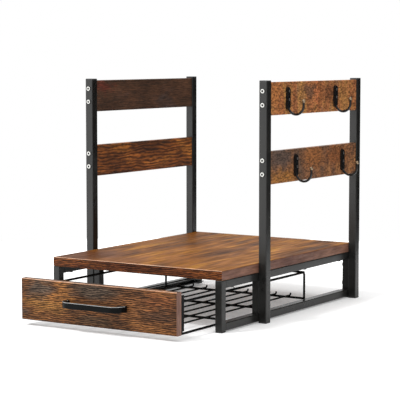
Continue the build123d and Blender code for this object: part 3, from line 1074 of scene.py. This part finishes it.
def make_hooks():
    pattern = hook_pattern()
    screw = cross_screw(HOOK_SCREW_HEAD, HOOK_SCREW_CROWN)
    screws = []
    for side, sign in SIDES.items():
        for level in LEVELS:
            slat_low, slat_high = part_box(f"slat_{level}_{side}")
            face = slat_high.x if sign > 0 else -slat_low.x
            for end in ENDS:
                node = f"hook_{level}_{end}_{side}"
                low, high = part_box(node)
                y = (low.y + high.y) / 2
                place = Matrix.Translation((face, y, high.z))
                hook = copied(pattern, f"{node}_piece", mirrored(place, sign))
                finished(hook, "stand", None, [node])
                for drop in HOOK_SCREW_DROPS:
                    x = sign * (face + HOOK_PLATE_THICK * MM)
                    screws.append(((x, y, high.z - drop * MM), (sign, 0, 0)))
    placed(
        screw, "hook_screw_heads", screws, "stand", hook_screw_steel, "hook_screws"
    )
    dropped(screw)
    dropped(pattern)


# Drawer hardware


def make_basket():
    low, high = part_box("drawer_basket")
    rim = RIM_WIRE * MM
    bar = FLOOR_WIRE * MM
    half = BASKET_HALF * MM
    front = low.y + rim / 2
    back = high.y - bar - rim / 2
    bottom = BASKET_LOW * MM
    top = bottom + BASKET_RISE * MM
    middle = (front + back) / 2
    wires = []
    for sign in SIDES.values():
        x = sign * half
        wires.append(bent_wire(
            "side_loop",
            [(x, middle, bottom), (x, back, bottom), (x, back, top), (x, front, top),
             (x, front, bottom), (x, middle, bottom)],
            rim / 2, BASKET_BEND * MM, closed=True,
        ))
        ear_y = back - (BASKET_BEND + EAR_WIRE / 2) * MM
        ear = [(x, ear_y, bottom), (sign * high.x, ear_y, bottom)]
        wires.append(bent_wire("ear", ear, EAR_WIRE * MM / 2))
    for y in (front, back):
        wires.append(bent_wire("rim_wire", [(-half, y, top), (half, y, top)], rim / 2))
    cross_z = bottom + rim - WELD_BITE * MM
    for index in range(BASKET_CROSS):
        y = front + (back - front) * index / (BASKET_CROSS - 1)
        wires.append(bent_wire("cross_wire", [(-half, y, cross_z), (half, y, cross_z)], rim / 2))
    floor_z = cross_z + rim / 2 + bar / 2 - WELD_BITE * MM
    tip_y = back + rim / 2 + bar / 2
    for index in range(1, BASKET_FLOOR - 1):
        x = -half + 2 * half * index / (BASKET_FLOOR - 1)
        wires.append(bent_wire(
            "floor_wire",
            [(x, front, floor_z), (x, tip_y, floor_z), (x, tip_y, floor_z + TIP_RISE * MM)],
            bar / 2, TIP_BEND * MM, FLOOR_WIRE_SIDES,
        ))
    basket = joined("basket_wires", wires)
    shaded(basket, SMOOTH_WIRES)
    finished(basket, "drawer", wire_coat, ["drawer_basket"])


def make_handle():
    low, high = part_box("drawer_handle")
    handle = block("bow_handle", low, high)
    editing()
    pick("EDGE", lambda middle, way: upward(middle, way) and middle.y < low.y + MM)
    bpy.ops.mesh.bevel(offset=HANDLE_BEND * MM, segments=14, affect="EDGES")
    bpy.ops.object.mode_set(mode="OBJECT")
    leg = HANDLE_LEG * MM
    gap = block(
        "handle_gap",
        (low.x + leg, low.y + HANDLE_BAR * MM, low.z - MM),
        (high.x - leg, high.y + MM, high.z + MM),
    )
    editing()
    inner = low.y + (HANDLE_BAR + 1) * MM
    pick("EDGE", lambda middle, way: upward(middle, way) and middle.y < inner)
    bpy.ops.mesh.bevel(offset=HANDLE_INNER_BEND * MM, segments=10, affect="EDGES")
    bpy.ops.object.mode_set(mode="OBJECT")
    cut(handle, gap)
    softened(handle, HANDLE_EDGE * MM, 3)
    handle.data.materials.append(handle_coat)
    handle.data.materials.append(handle_highlight_rim)
    # The top outer bevel faces get the light grey painted highlight
    least, most = HANDLE_RIM_TURN
    for face in handle.data.polygons:
        normal = face.normal
        outer = face.center.y < low.y + HANDLE_BEND * MM and normal.z > HANDLE_RIM_UP
        if outer and least < normal.xy.length < most and normal.y < HANDLE_RIM_FRONT:
            face.material_index = 1
    shaded(handle, SMOOTH_FINE)
    finished(handle, "drawer", None, ["drawer_handle"])


def make_straps():
    """Straps behind the drawer front, with their outer edges folded back along the basket."""
    for side, sign in SIDES.items():
        node = f"drawer_strap_{side}"
        low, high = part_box(node)
        outer = high.x if sign > 0 else low.x
        fold = outer - sign * STRAP_FLANGE_THICK * MM
        start = low.z + STRAP_FLANGE_START * MM
        strap = block(f"{node}_angle", low, high)
        editing("FACE")
        bpy.ops.mesh.bisect(plane_co=(fold, 0, 0), plane_no=(1, 0, 0))
        bpy.ops.mesh.select_all(action="SELECT")
        bpy.ops.mesh.bisect(plane_co=(0, 0, start), plane_no=(0, 0, 1))
        pick("FACE", lambda at, normal: (
            normal.y > ALONG and sign * (at.x - fold) > 0 and at.z > start
        ))
        bpy.ops.mesh.extrude_region_move(
            TRANSFORM_OT_translate={"value": (0, STRAP_FLANGE * MM, 0)}
        )
        bpy.ops.object.mode_set(mode="OBJECT")
        softened(strap, STRAP_EDGE * MM, 2)
        finished(shaded(outward(strap)), "drawer", wire_coat, [node])


def coat_kept_nodes():
    """The runners keep their CAD shapes and get the frame's coat."""
    for side in SIDES:
        mesh = nodes[f"runner_{side}"].data
        mesh.materials.clear()
        mesh.materials.append(frame_coat)


# Floor, light and camera

FLOOR_RADIUS = 1.1
FLOOR_GREY = 0.86
FLOOR_GLOW = 0.22
FLOOR_FADE = (0.45, 0.9)
LIT_PLACE = (0, 0, 0.15)
ROOM_BRIGHT_WAY = (-0.536, -0.844, 0.3)
ROOM_BRIGHT = 1.1
ROOM_DARK = 0.06
FLAG_WAY = (0.536, 0.844, 0.0)
FLAG_DISTANCE = 0.95
FLAG_WIDTH = 1.5
FLAG_HEIGHT = 1.0
CAMERA_AZIMUTH = 32.43
CAMERA_DROP = 5.30
CAMERA_PLACE = (1.4795, -2.2902, 0.4472)
CAMERA_FOCAL = 141.55

# Each lamp's name, its direction and distance from the object, its size and its power
LAMPS = (
    ("key", (-0.334, -0.58, 0.735), 3.0, 0.7, 54),
    ("front", (-0.536, -0.84, 0.06), 3.0, 1.4, 14),
    ("top", (0.1, 0.2, 1.0), 2.4, 1.6, 18),
    ("side", (0.85, -0.35, 0.45), 2.8, 1.4, 16),
)


def seen_rays(tree):
    """One for the rays that see the background: camera, glossy and transmission rays."""
    path = added(tree, "LightPath")
    total = path.outputs["Is Camera Ray"]
    for kind in ("Is Glossy Ray", "Is Transmission Ray"):
        both = added(tree, "Math", operation="MAXIMUM")
        tree.links.new(total, both.inputs[0])
        tree.links.new(path.outputs[kind], both.inputs[1])
        total = both.outputs[0]
    return total


def make_floor():
    """White floor that keeps the soft shadow and fades into the white background."""
    fresh()
    bpy.ops.mesh.primitive_circle_add(vertices=64, radius=FLOOR_RADIUS, fill_type="NGON")
    floor = started("floor")
    shader = Shader("pale_floor")
    tree = shader.tree
    tree.nodes.remove(shader.surface)
    matt = shader.node("BsdfDiffuse")
    matt.inputs["Color"].default_value = grey(FLOOR_GREY)
    reach = shader.vector_math("LENGTH", shader.node("TexCoord").outputs["Object"])
    fade = shader.spread(reach, *FLOOR_FADE, FLOOR_GLOW, 1.0)
    seen = shader.node("Math", operation="MULTIPLY")
    shader.link(seen_rays(tree), seen.inputs[0])
    shader.link(fade, seen.inputs[1])
    glow = shader.node("Emission")
    glow.inputs["Color"].default_value = grey(1.0)
    shader.link(seen.outputs[0], glow.inputs["Strength"])
    both = shader.node("AddShader")
    shader.link(matt.outputs[0], both.inputs[0])
    shader.link(glow.outputs[0], both.inputs[1])
    shader.link(both.outputs[0], tree.nodes["Material Output"].inputs["Surface"])
    floor.data.materials.append(shader.material)


def make_world():
    """White to the camera and in reflections, and a room's light, bright at the front left."""
    world = bpy.data.worlds.new("studio")
    bpy.context.scene.world = world
    world.use_nodes = True
    tree = world.node_tree
    background = tree.nodes["Background"]
    background.inputs["Color"].default_value = grey(1.0)
    toward = added(tree, "VectorMath", operation="DOT_PRODUCT")
    toward.inputs[1].default_value = Vector(ROOM_BRIGHT_WAY).normalized()
    tree.links.new(added(tree, "TexCoord").outputs["Generated"], toward.inputs[0])
    room = ranged(tree, toward.outputs["Value"], -1.0, 1.0, ROOM_DARK, ROOM_BRIGHT)
    seen = added(tree, "Mix", data_type="FLOAT")
    tree.links.new(seen_rays(tree), seen.inputs[0])
    tree.links.new(room, seen.inputs[2])
    seen.inputs[3].default_value = 1.0
    tree.links.new(seen.outputs[0], background.inputs["Strength"])


def make_lamp(name, way, distance, size, power):
    """Soft square lamp that looks at the object from a direction."""
    data = bpy.data.lights.new(name, "AREA")
    data.shape = "SQUARE"
    data.size = size
    data.energy = power
    made = bpy.data.objects.new(name, data)
    made.location = Vector(LIT_PLACE) + Vector(way).normalized() * distance
    made.rotation_euler = Vector(way).to_track_quat("Z", "Y").to_euler()
    bpy.context.scene.collection.objects.link(made)


def make_flag():
    """Dark card that only reflections see, so that the tubes' right sides stay dark."""
    fresh()
    middle = Vector(FLAG_WAY).normalized() * FLAG_DISTANCE
    bpy.ops.mesh.primitive_grid_add(x_subdivisions=2, y_subdivisions=2, size=1)
    flag = started("dark_flag")
    turn = Vector(FLAG_WAY).to_track_quat("Z", "Y").to_matrix().to_4x4()
    size = Matrix.Diagonal((FLAG_WIDTH, FLAG_HEIGHT, 1, 1))
    lift = Matrix.Translation(middle + Vector((0, 0, FLAG_HEIGHT / 2)))
    flag.data.transform(lift @ turn @ size)
    shader = Shader("dark_felt")
    shader.surface.inputs["Base Color"].default_value = grey(0.01)
    shader.surface.inputs["Roughness"].default_value = 1.0
    flag.data.materials.append(shader.material)
    flag.visible_camera = False
    flag.visible_diffuse = False
    flag.visible_shadow = False


def make_camera():
    data = bpy.data.cameras.new("camera")
    data.lens = CAMERA_FOCAL
    data.sensor_width = 36
    data.clip_end = 50
    camera = bpy.data.objects.new("camera", data)
    camera.location = CAMERA_PLACE
    camera.rotation_euler = (radians(90 - CAMERA_DROP), 0, radians(CAMERA_AZIMUTH))
    bpy.context.scene.collection.objects.link(camera)
    bpy.context.scene.camera = camera


make_board()
make_slats()
make_panel()
for name in SIDES:
    make_frame(name)
make_posts()
make_plugs()
make_slat_screws()
make_bolts()
make_wood_screws()
make_hooks()
make_basket()
make_handle()
make_straps()
coat_kept_nodes()
make_floor()
make_world()
make_flag()
for lamp in LAMPS:
    make_lamp(*lamp)
make_camera()
bpy.context.scene.view_settings.view_transform = "Standard"
